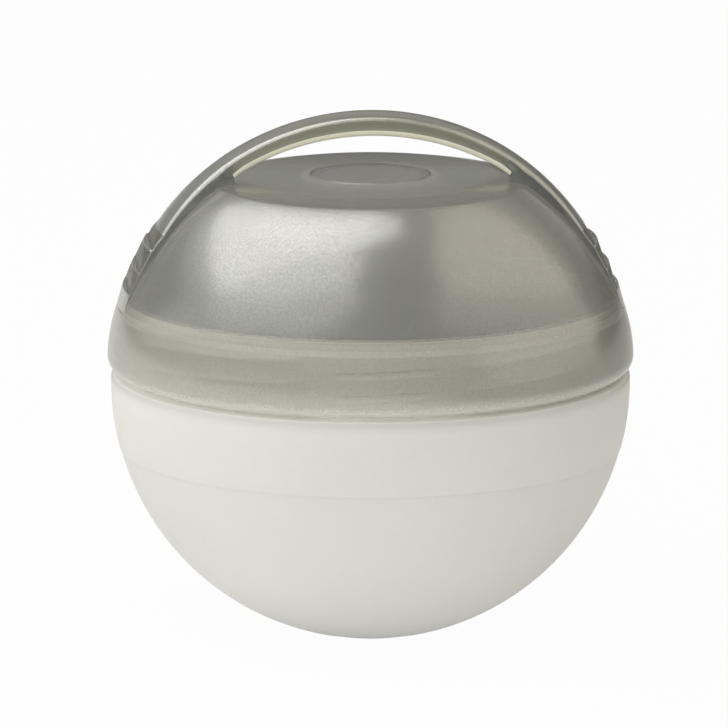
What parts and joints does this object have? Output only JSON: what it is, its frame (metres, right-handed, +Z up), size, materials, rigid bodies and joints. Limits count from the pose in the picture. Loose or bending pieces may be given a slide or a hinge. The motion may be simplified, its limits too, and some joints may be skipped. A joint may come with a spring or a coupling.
{
  "type": "soother steriliser case",
  "caption": "Ball-shaped soother steriliser case: white bowl with a quick-turn neck, translucent grey lid with an arched carry handle, sealed rim and a lift-out basket.",
  "frame": {"origin": "centre of the flat foot under the bowl, on the surface it stands on", "axes": "+Z up along the ball's axis, X along the arched handle's span, -Y towards the front of the case"},
  "size_m": [0.1016, 0.1016, 0.1016],
  "materials": {
    "white_shell": "smooth satin polypropylene, warm white",
    "clear_grey": "glossy translucent pearl grey",
    "silicone": "soft translucent silicone",
    "white_insert": "fine matt polypropylene"
  },
  "bodies": {
    "base": {"bowl_lower": "white_shell", "neck_collar": "white_shell"},
    "seal": {"lid_seal": "silicone"},
    "lid": {"lid_dome": "clear_grey", "lid_handle": "clear_grey", "lid_stem": "clear_grey"},
    "basket": {"basket_post": "clear_grey", "soother_basket": "white_insert"}
  },
  "joints": [
    {"name": "lid_lift", "type": "slide", "parent": "base", "child": "seal", "axis": [0, 0, 1], "range_m": [0, 0.095]},
    {"name": "lid_turn", "type": "hinge", "parent": "seal", "child": "lid", "pos_m": [0, 0, 0.058], "axis": [0, 0, 1], "range_deg": [-33, 0]},
    {"name": "basket_lift", "type": "slide", "parent": "base", "child": "basket", "axis": [0, 0, 1], "range_m": [0, 0.0618]}
  ],
  "couplings": [
    {"joint": "basket_lift", "follows": "lid_lift", "ratio": 0.65}
  ]
}
